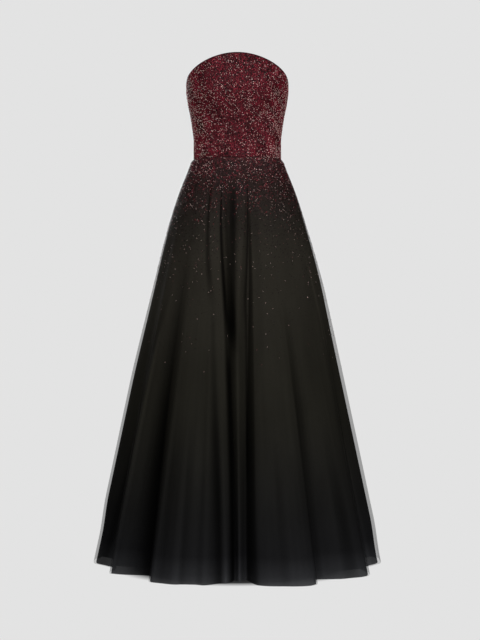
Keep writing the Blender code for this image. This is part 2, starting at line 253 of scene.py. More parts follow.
# Teeth of the closed zip, from its foot up to the slider: across, up and out
CHAIN_FOOT = -0.205
CHAIN_TOP = 0.157
TOOTH_PITCH = 1.5 * MM
TOOTH_SIZE = (2.6 * MM, 0.9 * MM, 0.36 * MM)
TOOTH_STAGGER = 0.4 * MM

# Folds of the net that lie on the flutes. Each runs down the skirt from the drop top to the drop foot and is
# at its strongest from the drop full on. It drifts from top_angle to foot_angle, as angles of the hem, and
# reaches left and right degrees to its sides. relief moves the cloth out (+) or in (-). shade is how much
# darker the net's colour is painted in a valley, where layers close up, and below 0 it is a crest's gain. A
# fold with an OPEN foot runs out of the hem.
Fold = namedtuple("Fold", "top full foot top_angle foot_angle left right relief shade")
OPEN = 1.4
FOLD_END = 0.12
FOLDS = (
    # Left of the front
    Fold(0.10, 0.80, OPEN, -46.0, -46.0, 13.0, 3.0, -0.003, 0.86),
    Fold(0.22, 0.70, OPEN, -54.0, -84.0, 4.5, 4.5, -0.003, 0.50),
    Fold(0.40, 0.62, OPEN, -59.5, -61.5, 1.7, 1.7, 0.0035, -0.45),
    Fold(0.50, 0.80, OPEN, -71.0, -69.0, 2.0, 3.0, -0.002, 0.30),
    Fold(0.02, 0.10, 0.42, -33.0, -10.8, 5.0, 5.0, -0.002, 0.58),
    Fold(0.62, 0.90, OPEN, -23.2, -22.2, 1.6, 4.0, -0.0025, 0.36),
    Fold(0.66, 0.90, OPEN, -31.5, -31.0, 3.5, 8.0, -0.002, 0.30),
    Fold(0.34, 0.48, 0.84, -12.0, -9.6, 2.8, 2.8, -0.0015, 0.32),
    Fold(0.50, 0.88, OPEN, -10.2, -7.3, 4.6, 2.6, -0.004, 0.78),
    Fold(0.42, 0.70, OPEN, -7.2, -4.6, 1.3, 1.3, 0.0015, -0.05),
    Fold(0.03, 0.14, 0.56, -7.0, 0.3, 3.2, 3.2, -0.002, 0.86),
    Fold(0.30, 0.62, 1.04, -88.0, -88.0, 26.0, 26.0, 0.0065, 0.0),
    # Middle
    Fold(0.03, 0.14, 0.56, 0.8, 0.2, 1.8, 1.3, -0.001, 0.80),
    Fold(0.44, 0.58, OPEN, -1.3, -1.9, 3.2, 1.9, -0.002, 0.88),
    Fold(0.03, 0.10, 0.46, 5.6, 3.1, 1.2, 1.2, -0.0008, 0.70),
    Fold(0.34, 0.44, 0.90, 3.6, 5.4, 1.1, 1.1, -0.0008, 0.62),
    Fold(0.10, 0.30, 0.74, 5.6, 5.6, 1.2, 2.6, -0.001, 0.36),
    Fold(0.08, 0.20, 0.62, 12.0, 11.0, 6.0, 7.0, -0.001, 0.15),
    Fold(0.55, 0.75, OPEN, 5.2, 5.6, 1.3, 4.2, -0.001, 0.58),
    # Right of the front
    Fold(0.70, 0.90, OPEN, 18.2, 17.8, 3.0, 3.0, -0.002, 0.25),
    Fold(0.34, 0.75, OPEN, 36.0, 37.3, 7.5, 2.6, -0.003, 0.38),
    Fold(0.74, 0.95, OPEN, 51.3, 50.4, 6.0, 3.5, -0.0025, 0.36),
    Fold(0.20, 0.45, OPEN, 62.0, 81.0, 2.2, 2.2, 0.003, -0.60),
    Fold(0.30, 0.60, OPEN, 68.0, 75.0, 4.0, 3.0, -0.002, 0.50),
    Fold(0.14, 0.38, 1.10, 86.0, 88.0, 22.0, 22.0, 0.007, 0.0),
    # Right side and back
    Fold(0.30, 0.75, OPEN, 96.0, 95.0, 3.0, 6.0, -0.003, 0.34),
    Fold(0.10, 0.70, OPEN, 116.0, 117.0, 4.0, 9.0, -0.003, 0.82),
    Fold(0.60, 0.90, OPEN, 130.0, 129.0, 2.0, 4.0, -0.0025, 0.30),
    Fold(0.06, 0.65, OPEN, 152.0, 153.0, 8.0, 3.0, -0.003, 0.84),
    Fold(0.45, 0.80, OPEN, 166.0, 167.0, 3.0, 3.0, -0.0025, 0.34),
    Fold(0.22, 0.60, OPEN, 180.0, 180.0, 4.0, 5.0, -0.001, 0.70),
    Fold(0.08, 0.70, OPEN, 202.0, 203.0, 4.0, 8.0, -0.003, 0.84),
    Fold(0.50, 0.85, OPEN, 215.0, 213.5, 3.0, 4.0, -0.0025, 0.28),
    Fold(0.25, 0.75, OPEN, 229.0, 228.0, 5.0, 3.0, -0.0025, 0.48),
    Fold(0.10, 0.72, OPEN, 241.0, 241.0, 9.0, 4.0, -0.003, 0.80),
    Fold(0.55, 0.85, OPEN, 256.0, 258.0, 3.0, 3.0, -0.0025, 0.34),
)

# Fine ripples of the net, which fan out with the skirt: how deep they are at the hem, and how much painted shade and
# light they give the net's colour there
RIPPLE_DEPTH = 0.6 * MM
RIPPLE_SHADE = 0.06
RIPPLE_TURNS = (41, 67, 96, 131)

# The tulle is gathered into the waist seam: it puffs out a little right below it
PUFF = 3.2 * MM
PUFF_DROP = 0.008
GATHER_DEPTH = 0.7 * MM
GATHERS = 54
GATHER_FADE = 0.06

# The lower layers hang this much farther in at the sides, each under the one above it
SLACK_SPREAD = 40.0
SLACK_RIGHT = 5.0 * MM
SLACK_LEFT = 3.0 * MM

# Fineness of the cloth's meshes: columns over each half turn, and rows from the waist to the hem
TULLE_GRID = (440, 84)
UNDERSKIRT_GRID = (200, 70)
BODICE_GRID = (120, 56)
ROW_CROWDING = 1.35
FINE_STEPS = 2400

# Beads sit on a hexagonal grid, shaken by a share of its spacing. They fill most of its seats on the bodice,
# and the share that they fill thins out with the drop below the waist.
BEAD_SPACING = 2.4 * MM
BEAD_ROW_STEP = BEAD_SPACING * math.sqrt(0.75)
BEAD_JITTER = 0.30
BEAD_WIDTHS = (1.8, 2.6)
EDGE_FREE = 3.0 * MM
BODICE_SHARE = 0.96
DENSITY_SWING = 0.35
BEADING_DEPTH = 0.60
Beading = namedtuple("Beading", "drop share")
BEADING = (
    Beading(0.000, 0.96),
    Beading(0.020, 0.92),
    Beading(0.050, 0.76),
    Beading(0.085, 0.56),
    Beading(0.120, 0.38),
    Beading(0.160, 0.23),
    Beading(0.200, 0.13),
    Beading(0.260, 0.055),
    Beading(0.330, 0.022),
    Beading(0.420, 0.010),
    Beading(0.520, 0.0055),
    Beading(0.600, 0.0020),
)

# A bead's crown and a cut stone's table, as shares of its width; silver beads are smaller than the others,
# and smaller still down the skirt
BEAD_SIDES = 6
CROWN_RISE = 0.38
TABLE_WIDTH = 0.55
TABLE_RISE = 0.26
BEAD_LIFT = 0.05
SEED_TILT = 0.20
STONE_TILT = 0.38
CUT_SMOKE = 0.35
CUT_CRIMSON = 0.25
SILVER_SIZE = 0.84
SILVER_SHRINK = 0.24
SILVER_SHRINK_DROP = 0.08

# Camera, backdrop and lights: the camera is level, in front of the gown
CAMERA_PLACE = (0.0074, -4.25, -0.44)
SENSOR = 36.0
LENS = 86.9
BACKDROP = 0.768
DOME_BELOW = 0.02
DOME_ABOVE = 0.16
FLOOR_GAP = 0.012
FLOOR_HALF_WIDTH = 40.0
SHADE_HALF_WIDTH = 0.345
SHADE_HALF_DEPTH = 0.315
Lamp = namedtuple("Lamp", "name place target size power")
LAMPS = (
    Lamp("key", (2.0, -3.4, 1.0), (0.0, 0.0, -0.35), (1.5, 2.2), 76.0),
    Lamp("low", (0.6, -3.7, -0.6), (0.0, 0.0, 0.10), (1.4, 0.8), 33.0),
    Lamp("fill", (-1.5, -2.0, 0.8), (0.0, 0.0, -0.10), (1.0, 1.2), 20.0),
    Lamp("top", (0.2, -1.0, 2.6), (0.0, 0.0, -0.2), (1.6, 1.0), 30.0),
    Lamp("back", (-1.6, 3.4, 1.2), (0.0, 0.0, -0.4), (1.8, 1.8), 70.0),
)


def even_slopes(knots, values):
    """Slopes at the knots for a curve that never swings past them."""
    steps = np.diff(knots)
    rises = np.diff(values) / steps
    slopes = np.zeros(len(knots))
    slopes[0] = rises[0]
    slopes[-1] = rises[-1]
    for i in range(1, len(knots) - 1):
        if rises[i - 1] * rises[i] > 0:
            before = 2 * steps[i] + steps[i - 1]
            after = steps[i] + 2 * steps[i - 1]
            slopes[i] = (before + after) / (before / rises[i - 1] + after / rises[i])
    return slopes


def smooth_curve(knots, values):
    """A function of an array that runs smoothly through the values at the knots."""
    knots = np.array(knots, dtype=float)
    values = np.array(values, dtype=float)
    slopes = even_slopes(knots, values)

    def curve(at):
        at = np.asarray(at, dtype=float)
        i = np.clip(np.searchsorted(knots, at) - 1, 0, len(knots) - 2)
        step = knots[i + 1] - knots[i]
        t = np.clip((at - knots[i]) / step, 0.0, 1.0)
        start = (1 + 2 * t) * (1 - t) ** 2 * values[i] + t * (1 - t) ** 2 * step * slopes[i]
        end = t * t * (3 - 2 * t) * values[i + 1] + t * t * (t - 1) * step * slopes[i + 1]
        return start + end

    return curve


def round_the_hem(column, turns_with_angle=False):
    """A smooth curve through one column of the flute table, closed round the gown."""
    knots = []
    values = []
    for turn in (-FULL_TURN, 0.0, FULL_TURN):
        for flute in FLUTES:
            knots.append(flute.hem_angle + turn)
            values.append(getattr(flute, column) + (turn if turns_with_angle else 0.0))
    return smooth_curve(knots, values)


flute_depth = round_the_hem("depth")
flute_start = round_the_hem("start")
waist_angle = round_the_hem("waist_angle", turns_with_angle=True)
bodice_heights = [girth.height for girth in BODICE_GIRTHS]
bodice_half_width = smooth_curve(bodice_heights, [girth.half_width for girth in BODICE_GIRTHS])
bodice_front_depth = smooth_curve(bodice_heights, [girth.front_depth for girth in BODICE_GIRTHS])
bodice_back_depth = smooth_curve(bodice_heights, [girth.back_depth for girth in BODICE_GIRTHS])
beading_share = smooth_curve([row.drop for row in BEADING], [row.share for row in BEADING])


def oval_radius(degrees, half_width, front_depth, back_depth):
    """Distance from the axis to an oval that is deeper at the front than at the back, or the reverse."""
    angle = np.radians(degrees)
    depth = np.where(np.cos(angle) > 0, front_depth, back_depth)
    return half_width * depth / np.hypot(depth * np.sin(angle), half_width * np.cos(angle))


def bump(distance, spread):
    """A soft rise from 0 at the spread to 1 at no distance."""
    return 0.5 + 0.5 * np.cos(np.pi * np.clip(np.abs(distance) / spread, 0.0, 1.0))


def turned_to_front(degrees):
    """The same angle, between -180 and 180."""
    return (np.asarray(degrees) + FULL_TURN / 2) % FULL_TURN - FULL_TURN / 2


def bodice_top(degrees):
    """Height of the bodice's top edge."""
    lift = np.cos(np.radians(degrees))
    return TOP_AT_SIDE + lift * np.where(lift > 0, TOP_RISE_TO_FRONT, TOP_FALL_TO_BACK)


def bodice_radius(degrees, height):
    """Distance of the bodice's face from the axis, with the two soft rises of the cut at the bust."""
    depths = bodice_front_depth(height), bodice_back_depth(height)
    side = np.abs(turned_to_front(degrees)) - BUST_ANGLE
    rise = BUST_RISE * bump(height - BUST_HEIGHT, BUST_HEIGHT_SPREAD) * bump(side, BUST_ANGLE_SPREAD)
    return oval_radius(degrees, bodice_half_width(height), *depths) + rise


def flared(flare, drop):
    """Half a width or a depth of the skirt: it springs out below the waist, then slopes down straight."""
    return flare.waist + flare.spring * (1 - np.exp(-drop / SPRING_HEIGHT)) + flare.slope * drop


def skirt_angle(hem, drop):
    """Where the fold that ends at this angle of the hem lies, higher up the skirt."""
    fade = np.clip(1 - drop / SKIRT_LENGTH, 0.0, 1.0) ** DRIFT_FADE
    return hem + (waist_angle(hem) - hem) * fade


def skirt_radius(hem, drop):
    """Distance of the outer tulle's face from the axis: the flared oval with its flutes."""
    angle = skirt_angle(hem, drop)
    oval = oval_radius(angle, flared(SIDE_FLARE, drop), flared(FRONT_FLARE, drop), flared(BACK_FLARE, drop))
    start = flute_start(hem)
    grown = np.maximum(drop - start, 0.0) / (SKIRT_LENGTH - start)
    return oval + flute_depth(hem) * grown ** FLUTE_GROWTH


def stretch_on_slope(hem, drop):
    """How much longer a step outward is along the radius than across the cloth, on the side of a fold."""
    reach = 0.5
    rise = skirt_radius(hem + reach, drop) - skirt_radius(hem - reach, drop)
    turn = np.radians(skirt_angle(hem + reach, drop) - skirt_angle(hem - reach, drop))
    slope = rise / (turn * skirt_radius(hem, drop))
    return np.minimum(np.hypot(1.0, slope), STEEPEST_STRETCH)


def soft_step(value):
    """0 below 0, 1 above 1 and smooth between them."""
    value = np.clip(value, 0.0, 1.0)
    return value * value * (3 - 2 * value)


def fold_strength(fold, hem, drop):
    """From 0 away from a fold to 1 on its line, where it is at its strongest."""
    along = np.clip((drop - fold.top) / (min(fold.foot, SKIRT_LENGTH) - fold.top), 0.0, 1.0)
    line = fold.top_angle + (fold.foot_angle - fold.top_angle) * along
    off = turned_to_front(hem - line)
    across = bump(off, np.where(off < 0, fold.left, fold.right))
    begun = soft_step((drop - fold.top) / (fold.full - fold.top))
    return across * begun * soft_step((fold.foot - drop) / FOLD_END)


def ripples(hem, drop):
    """Fine uneven waves round the skirt, about -1 to 1, that grow toward the hem."""
    waves = 0.0
    for number, turns in enumerate(RIPPLE_TURNS):
        drift = 1.7 * np.sin(drop * (4.0 + number) + 2.1 * number)
        waves = waves + np.cos(np.radians(hem) * turns + drift + 2.6 * number)
    return waves / len(RIPPLE_TURNS) * soft_step((drop - 0.10) / 0.70)


def crease_relief(hem, drop):
    """How far all the folds of the net move the cloth out."""
    relief = np.zeros(np.broadcast(hem, drop).shape)
    for fold in FOLDS:
        relief += fold.relief * fold_strength(fold, hem, drop)
    return relief


def fold_shade(hem, drop):
    """A factor painted into the net's colour, less in closed valleys and more on crests."""
    share = 1.0 + RIPPLE_SHADE * ripples(hem, drop)
    for fold in FOLDS:
        share = share * (1.0 - fold.shade * fold_strength(fold, hem, drop))
    return share


def puff_relief(degrees, drop):
    """The fullness of the gathered tulle right below the waist seam."""
    near = drop / PUFF_DROP
    puff = PUFF * near * np.exp(1 - near)
    gathers = np.cos(np.radians(degrees) * GATHERS + 2.0 * np.sin(np.radians(degrees) * 7))
    return puff + GATHER_DEPTH * gathers * np.exp(-drop / GATHER_FADE) * np.minimum(near, 1.0)


def at_angle(degrees, radius, height):
    """Points from their angles, their distances from the axis and their heights."""
    angle = np.radians(degrees)
    height = np.broadcast_to(height, np.broadcast(angle, radius).shape)
    return np.stack([radius * np.sin(angle), -radius * np.cos(angle), height], axis=-1)


def bodice_point(degrees, height, inset=0.0):
    """A point of the bodice, this far in from its face."""
    return at_angle(degrees, bodice_radius(degrees, height) - inset, height)


def layer_inset(layer, drop):
    """Depth of a skirt layer's outer face under the outer tulle's: 0 outer tulle, 1 inner, 2 underskirt."""
    share = np.minimum(1.0, drop / FULL_GAP_DROP)
    gap = LAYER_GAP_AT_WAIST + (LAYER_GAP_AT_HEM - LAYER_GAP_AT_WAIST) * share
    return layer * (TULLE_WALL + gap)


def side_slack(layer, degrees, drop):
    """How much farther in the lower layers lie at the sides, where the outer tulle stands away from them."""
    right = bump(turned_to_front(degrees - 90.0), SLACK_SPREAD) * SLACK_RIGHT
    left = bump(turned_to_front(degrees + 90.0), SLACK_SPREAD) * SLACK_LEFT
    return layer * (right + left) * soft_step((drop - 0.10) / 0.40)


def skirt_point(hem, drop, inset, puffed=0.0):
    """A point of the skirt, this far in from the outer tulle's face, with its creases."""
    degrees = skirt_angle(hem, drop)
    radius = skirt_radius(hem, drop) - inset * stretch_on_slope(hem, drop)
    radius = radius + crease_relief(hem, drop) + puffed * puff_relief(degrees, drop)
    return at_angle(degrees, radius, -np.maximum(drop, SEAM_GAP / 2))


def tulle_point(layer, hem, drop):
    """A point of a tulle sheet, in the middle of its wall; the outer one ripples, and puffs out most."""
    inset = layer_inset(layer, drop) + side_slack(layer, hem, drop) + TULLE_WALL / 2
    if layer == 0:
        inset = inset - RIPPLE_DEPTH * ripples(hem, drop)
    return skirt_point(hem, drop, inset, 1.0 - 0.5 * layer)


def outer_tulle_point(hem, drop):
    return tulle_point(0, hem, drop)


def unit(vectors):
    """The same directions, one unit long."""
    return vectors / np.linalg.norm(vectors, axis=-1, keepdims=True)


def lengths_along(line):
    """How far along a line of points each of them is."""
    return np.concatenate([[0.0], np.cumsum(np.linalg.norm(np.diff(line, axis=0), axis=1))])


def skirt_columns(low, high, half_turn_count):
    """Angles for a skirt mesh's columns, closer together on the steep sides of the folds."""
    fine = np.linspace(low, high, FINE_STEPS)
    arc = lengths_along(skirt_point(fine, 0.8 * SKIRT_LENGTH, 0.0))
    share = 0.4 * (fine - low) / (high - low) + 0.6 * arc / arc[-1]
    count = int(half_turn_count * (high - low) / 180)
    return np.interp(np.linspace(0.0, 1.0, count + 1), share, fine)


def drop_rows(length, count):
    """Drops for a skirt mesh's rows, closer together near the waist."""
    return length * np.linspace(0.0, 1.0, count + 1) ** ROW_CROWDING


def put(node, name, value):
    node.inputs[name].default_value = value


def new_material(name, roughness, metallic=0.0, specular=0.5):
    made = bpy.data.materials.new(name)
    made.use_nodes = True
    shader = made.node_tree.nodes["Principled BSDF"]
    put(shader, "Roughness", roughness)
    put(shader, "Metallic", metallic)
    put(shader, "Specular IOR Level", specular)
    return made, shader


def add_node(owner, kind, **values):
    node = owner.node_tree.nodes.new("ShaderNode" + kind)
    for name, value in values.items():
        setattr(node, name, value)
    return node


def link(owner, source, target):
    owner.node_tree.links.new(source, target)


def scaled_place(made, scale):
    """The gown's own coordinates, each times its scale."""
    place = add_node(made, "TexCoord")
    shaped = add_node(made, "Mapping")
    put(shaped, "Scale", scale)
    link(made, place.outputs["Object"], shaped.inputs["Vector"])
    return shaped.outputs["Vector"]


def noise_value(made, scale, detail=2.0, stretch=(1.0, 1.0, 1.0)):
    """Noise over the gown's own coordinates."""
    noise = add_node(made, "TexNoise")
    put(noise, "Scale", scale)
    put(noise, "Detail", detail)
    link(made, scaled_place(made, stretch), noise.inputs["Vector"])
    return noise.outputs["Fac"]


def ramp(made, value, stops):
    """Colours at places along a value from 0 to 1."""
    node = add_node(made, "ValToRGB")
    elements = node.color_ramp.elements
    while len(elements) < len(stops):
        elements.new(0.5)
    for element, (place, colour) in zip(elements, stops):
        element.position = place
        element.color = (*colour, 1.0)
    link(made, value, node.inputs["Fac"])
    return node.outputs["Color"]


def range_share(owner, value, low, high):
    """0 at the low value, 1 at the high one."""
    share = add_node(owner, "MapRange")
    put(share, "From Min", low)
    put(share, "From Max", high)
    link(owner, value, share.inputs["Value"])
    return share.outputs["Result"]


def height_share(owner, coordinates, low, high):
    """0 at the low height, 1 at the high one."""
    place = add_node(owner, "TexCoord")
    parts = add_node(owner, "SeparateXYZ")
    link(owner, place.outputs[coordinates], parts.inputs["Vector"])
    return range_share(owner, parts.outputs["Z"], low, high)


def multiplied(made, first, second):
    """The product of two colours, from the colour sockets of a mix node."""
    node = add_node(made, "Mix", data_type="RGBA", blend_type="MULTIPLY")
    put(node, 0, 1.0)
    link(made, first, node.inputs[6])
    link(made, second, node.inputs[7])
    return node.outputs[2]


def grey_ramp(made, value, low_place, low, high_place, high):
    """Greys, or plain factors, at two places along a value."""
    return ramp(made, value, ((low_place, (low,) * 3), (high_place, (high,) * 3)))


def bumped(made, shader, value, distance):
    """Raises the material's surface by the value, up to the distance."""
    node = add_node(made, "Bump")
    put(node, "Strength", 1.0)
    put(node, "Distance", distance)
    link(made, value, node.inputs["Height"])
    link(made, node.outputs["Normal"], shader.inputs["Normal"])


def skirt_shades(made, tints):
    """The skirt's colour: warm black from the waist, cooler below, and paler in the last of the hem, which is painted
    light for the backdrop seen through the net; times the folds' painted shade.
    """
    heights = height_share(made, "Object", -SKIRT_LENGTH, 0.0)
    shade = ramp(made, heights, [(1.0 - drop / SKIRT_LENGTH, tint) for drop, tint in reversed(tints)])
    cloud = grey_ramp(made, noise_value(made, 14.0, 3.0, (1.0, 1.0, 0.25)), 0.3, 0.88, 0.7, 1.12)
    # fold_shade holds the folds' painted shade: darker in the valleys, lighter on the crests
    folds = add_node(made, "Attribute", attribute_name="fold_shade")
    return multiplied(made, multiplied(made, shade, cloud), folds.outputs["Fac"])


# The skirt's colours at drops from the waist to the hem. They grow darker and cooler downward, and the paler last rows
# are painted light: the bright backdrop seen through the net at the hem
TULLE_TINTS = (
    (0.000, (0.034, 0.015, 0.015)),
    (0.080, (0.024, 0.016, 0.014)),
    (0.170, (0.023, 0.020, 0.016)),
    (0.270, (0.0285, 0.0255, 0.0197)),
    (0.400, (0.0275, 0.0250, 0.0193)),
    (0.570, (0.0212, 0.0197, 0.0151)),
    (0.690, (0.0185, 0.0174, 0.0136)),
    (0.940, (0.0126, 0.0124, 0.0121)),
    (1.040, (0.0135, 0.0135, 0.0145)),
    (1.085, (0.0300, 0.0305, 0.0330)),
    (1.108, (0.0500, 0.0510, 0.0550)),
)
# The satin's colours; its paler last row is painted light for the hem, as above
SATIN_TINTS = (
    (0.00, (0.024, 0.014, 0.013)),
    (0.17, (0.018, 0.015, 0.013)),
    (0.90, (0.008, 0.008, 0.008)),
    (1.05, (0.008, 0.008, 0.009)),
    (1.09, (0.018, 0.018, 0.020)),
)


def tulle_material(name, alpha):
    """Fine soft net, seen as a sheer dark veil."""
    made, shader = new_material(name, roughness=0.75, specular=0.02)
    shade = skirt_shades(made, TULLE_TINTS)
    net = noise_value(made, 900.0, 1.0)
    mottled = multiplied(made, shade, grey_ramp(made, net, 0.35, 0.8, 0.65, 1.2))
    link(made, mottled, shader.inputs["Base Color"])
    bumped(made, shader, net, 0.0003)
    put(shader, "Alpha", alpha)
    return made


def satin_material():
    """Matt black satin of the underskirt, with a fine lengthwise grain."""
    made, shader = new_material("underskirt_satin", roughness=0.62, specular=0.03)
    shade = skirt_shades(made, SATIN_TINTS)
    link(made, shade, shader.inputs["Base Color"])
    grain = noise_value(made, 700.0, 2.0, (1.0, 1.0, 0.12))
    bumped(made, shader, grain, 0.0002)
    return made


def bodice_material():
    """Dark net under the beads."""
    made, shader = new_material("bodice_net", roughness=0.8, specular=0.03)
    patch = noise_value(made, 45.0, 3.0)
    shade = ramp(made, patch, ((0.35, (0.018, 0.003, 0.004)), (0.65, (0.042, 0.006, 0.009))))
    link(made, shade, shader.inputs["Base Color"])
    bumped(made, shader, noise_value(made, 600.0, 2.0), 0.0004)
    return made


def reverse_material():
    """The bodice's reverse, plain dark satin."""
    made, shader = new_material("bodice_reverse", roughness=0.6, specular=0.2)
    cloud = noise_value(made, 60.0, 2.0)
    shade = ramp(made, cloud, ((0.3, (0.012, 0.010, 0.011)), (0.7, (0.020, 0.015, 0.017))))
    link(made, shade, shader.inputs["Base Color"])
    bumped(made, shader, noise_value(made, 800.0, 1.0, (1.0, 1.0, 0.15)), 0.0002)
    return made


def bead_material(name, dark, light, roughness, metallic, specular):
    """Glass of one colour, which varies from bead to bead."""
    made, shader = new_material(name, roughness, metallic, specular)
    shade = ramp(made, noise_value(made, 330.0, 1.0), ((0.32, dark), (0.68, light)))
    link(made, shade, shader.inputs["Base Color"])
    return made


# Bead glass, in the order of the beads' kinds
JET, BURGUNDY, CRIMSON, SILVER, SMOKE = range(5)
bead_materials = (
    bead_material("bead_jet", (0.003, 0.001, 0.001), (0.010, 0.002, 0.003), 0.18, 0.0, 0.15),
    bead_material("bead_burgundy", (0.080, 0.006, 0.010), (0.230, 0.018, 0.030), 0.24, 0.3, 0.20),
    bead_material("bead_crimson", (0.200, 0.010, 0.026), (0.440, 0.034, 0.062), 0.24, 0.3, 0.20),
    # Silver beads: pale peach glass whose near-white colour is partly a painted glint, standing in for the reflection
    # of their silver lining
    bead_material("bead_silver", (0.860, 0.540, 0.500), (1.000, 0.780, 0.720), 0.12, 0.10, 0.8),
    bead_material("bead_smoke", (0.090, 0.030, 0.032), (0.220, 0.100, 0.100), 0.18, 0.4, 0.5),
)


def grid_faces(rows, columns, start=0, flip=False):
    """Squares over a grid of points that are numbered row by row."""
    i, j = np.meshgrid(np.arange(rows - 1), np.arange(columns - 1), indexing="ij")
    corner = (start + i * columns + j).ravel()
    faces = np.stack([corner, corner + 1, corner + columns + 1, corner + columns], axis=1)
    return faces[:, ::-1] if flip else faces


def mesh_object(name, points, faces, materials, kinds=None, smooth=True):
    """An object from arrays of points and of faces with equal corner counts.

    The kinds give each face's material.
    """
    mesh = bpy.data.meshes.new(name)
    count, corners = faces.shape
    mesh.vertices.add(len(points))
    mesh.vertices.foreach_set("co", np.asarray(points, dtype=np.float32).ravel())
    mesh.loops.add(count * corners)
    mesh.loops.foreach_set("vertex_index", faces.astype(np.int32).ravel())
    mesh.polygons.add(count)
    mesh.polygons.foreach_set("loop_start", np.arange(0, count * corners, corners, dtype=np.int32))
    mesh.update(calc_edges=True)
    for material in materials:
        mesh.materials.append(material)
    if kinds is not None:
        mesh.polygons.foreach_set("material_index", np.asarray(kinds, dtype=np.int32))
    mesh.polygons.foreach_set("use_smooth", np.full(count, smooth, dtype=bool))
    mesh.validate()
    obj = bpy.data.objects.new(name, mesh)
    bpy.context.scene.collection.objects.link(obj)
    return obj


def give_map(obj, corner_places):
    """A UV map from an array with one place for each face corner."""
    layer = obj.data.uv_layers.new(name="OFBake")
    layer.uv.foreach_set("vector", np.asarray(corner_places, dtype=np.float32).ravel())


def grid_places(rows, columns, low, high):
    """Map places of a grid's points, between two heights of the map."""
    across, up = np.meshgrid(np.linspace(0.002, 0.998, columns), np.linspace(low, high, rows))
    return np.stack([across, up], axis=-1).reshape(-1, 2)


def give_shade(obj, shade):
    """The folds' shade at each point, which the cloth's material reads."""
    layer = obj.data.attributes.new("fold_shade", "FLOAT", "POINT")
    layer.data.foreach_set("value", np.asarray(shade, dtype=np.float32).ravel())


def sheet_object(name, points, shade, material):
    """One open sheet of cloth over a grid of points."""
    rows, columns, _ = points.shape
    faces = grid_faces(rows, columns)
    obj = mesh_object(name, points.reshape(-1, 3), faces, [material])
    give_shade(obj, shade)
    give_map(obj, grid_places(rows, columns, 0.002, 0.998)[faces])
    return obj


def shell_object(name, outer, inner, materials):
    """A closed thin shell between two grids; the first material is the face, the last the reverse."""
    rows, columns, _ = outer.shape
    count = rows * columns
    face = grid_faces(rows, columns)
    back = grid_faces(rows, columns, count, flip=True)
    index = np.arange(count).reshape(rows, columns)
    edge = np.concatenate([index[0, :-1], index[:-1, -1], index[-1, :0:-1], index[:0:-1, 0]])
    after = np.roll(edge, -1)
    rim = np.stack([after, edge, edge + count, after + count], axis=1)
    faces = np.concatenate([face, back, rim])
    kinds = np.zeros(len(faces))
    kinds[len(face):len(face) + len(back)] = len(materials) - 1
    points = np.concatenate([outer.reshape(-1, 3), inner.reshape(-1, 3)])
    on_rim = np.arange(len(faces)) >= len(face) + len(back)
    obj = mesh_object(name, points, faces, materials, kinds, ~on_rim)
    face_places = grid_places(rows, columns, 0.502, 0.998)
    back_places = grid_places(rows, columns, 0.002, 0.498)
    corner_places = np.concatenate([face_places, back_places])[faces]
    corner_places[on_rim] = 0.5
    give_map(obj, corner_places)
    return obj


def cut_of(points):
    """A panel's widest and longest line, and its flat area, from its rows of points."""
    across = np.diff(points, axis=1)
    along = np.diff(points, axis=0)
    widest = np.linalg.norm(across, axis=2).sum(axis=1).max()
    longest = np.linalg.norm(along, axis=2).sum(axis=0).max()
    area = np.linalg.norm(np.cross(across[:-1], along[:, :-1]), axis=2).sum()
    return (float(widest), float(longest)), float(area)


def dressed(obj, slot, *nodes):
    """The piece rides on the gown, takes its finish from the slot and stands for the nodes."""
    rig.ride(obj, BODY)
    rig.slot(obj, slot)
    if nodes:
        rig.replaces(obj, *nodes)
    return obj


# Cloth
tulle_materials = (tulle_material("tulle_outer", 0.35), tulle_material("tulle_inner", 0.97))
satin = satin_material()
bodice_cloths = (bodice_material(), reverse_material())


def bodice_piece(side, low, high):
    """A bodice panel's cloth, and its cut."""
    columns = int(BODICE_GRID[0] * (high - low) / 180) + 1
    across = np.linspace(low, high, columns)
    gap = math.degrees(ZIP_GAP / 2 / BODICE_GIRTHS[-1].back_depth)
    if low == CENTRE_BACK:
        across[0] += gap
    if high == CENTRE_BACK:
        across[-1] -= gap
    up = np.linspace(0.0, 1.0, BODICE_GRID[1] + 1)[:, None]
    heights = SEAM_GAP / 2 + up * (bodice_top(across) - SEAM_GAP / 2)
    outer = bodice_point(across, heights)
    inner = bodice_point(across, heights, BODICE_WALL)
    piece = shell_object("bodice_" + side + "_cloth", outer, inner, bodice_cloths)
    return dressed(piece, "beaded_cloth", "bodice_" + side), cut_of(outer)


def zip_slit(hem, drops, low, high):
    """Rows of a skirt panel's angles, whose ends at the centre back stand aside along the zip."""
    grid = np.tile(hem, (len(drops), 1))
    shift = np.degrees(ZIP_GAP / 2 / skirt_radius(CENTRE_BACK, drops)) * (drops <= ZIP_DROP)
    if low == CENTRE_BACK:
        grid[:, 0] += shift
    if high == CENTRE_BACK:
        grid[:, -1] -= shift
    return grid


def tulle_piece(side, low, high, layer):
    """A tulle panel of the outer (0) or inner (1) layer, and its cut."""
    drops = drop_rows(SKIRT_LENGTH, TULLE_GRID[1])[::-1]
    columns = zip_slit(skirt_columns(low, high, TULLE_GRID[0]), drops, low, high)
    points = tulle_point(layer, columns, drops[:, None])
    name = ("tulle_outer_", "tulle_inner_")[layer] + side
    shade = fold_shade(columns, drops[:, None])
    piece = sheet_object(name + "_cloth", points, shade, tulle_materials[layer])
    return dressed(piece, "sheer_tulle", name), cut_of(points)


